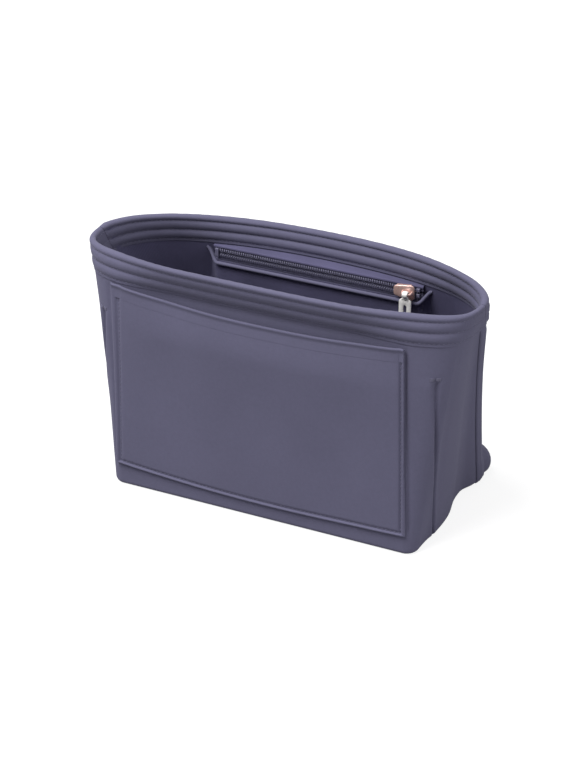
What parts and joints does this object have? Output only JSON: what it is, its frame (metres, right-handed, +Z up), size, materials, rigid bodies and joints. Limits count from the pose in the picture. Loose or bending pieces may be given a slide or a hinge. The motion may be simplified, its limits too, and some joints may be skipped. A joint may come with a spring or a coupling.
{
  "type": "purse organizer insert",
  "caption": "Soft open-topped organizer insert with a boxed base, stitched rim band, front slip pocket and an inner zipped pocket whose slider runs along a straight zip.",
  "frame": {"origin": "on the floor under the middle of the insert's box", "axes": "+X along the length towards the closed end of the zip, +Y to the back wall with the zipped pocket, +Z up"},
  "size_m": [0.2552, 0.1268, 0.158],
  "materials": {
    "outer_cloth": "matt slate blue-grey woven cloth",
    "lining": "darker slate lining cloth",
    "stiffening": "pale bonded fibre interlining",
    "board": "plain stiffening board",
    "zip_tape": "fine woven zip tape",
    "zip_coil": "satin nylon coil and moulded stops",
    "rose_gold": "polished rose gold plate",
    "silver": "polished silver plate"
  },
  "bodies": {
    "insert": {"base_panel": "outer_cloth", "base_board": "board", "floor_lining": "lining", "front_panel": "outer_cloth", "front_interlining": "stiffening", "front_lining": "lining", "back_panel": "outer_cloth", "back_interlining": "stiffening", "back_lining": "lining", "rim_band_front": "outer_cloth", "rim_band_back": "outer_cloth", "side_seam_right": "outer_cloth", "side_seam_left": "outer_cloth", "front_pocket_panel": "outer_cloth", "front_pocket_binding": "outer_cloth", "zip_pocket_panel": "lining", "zip_top_strip": "lining", "zip_pocket_piping": "outer_cloth", "zip_tape_upper": "zip_tape", "zip_tape_lower": "zip_tape", "zip_coil_upper": "zip_coil", "zip_coil_lower": "zip_coil", "zip_top_stop_upper": "zip_coil", "zip_top_stop_lower": "zip_coil", "zip_bottom_stop": "zip_coil"},
    "slider": {"slider_body": "rose_gold", "slider_crown": "rose_gold"},
    "pull_tab": {"pull_tab": "silver"}
  },
  "joints": [
    {"name": "zip_slide", "type": "slide", "parent": "insert", "child": "slider", "axis": [1, 0, 0], "range_m": [-0.1202, 0]},
    {"name": "pull_tab_swing", "type": "hinge", "parent": "slider", "child": "pull_tab", "pos_m": [0.0626, 0.01984, 0.1336], "axis": [-1, 0, 0], "range_deg": [-12, 180]}
  ]
}
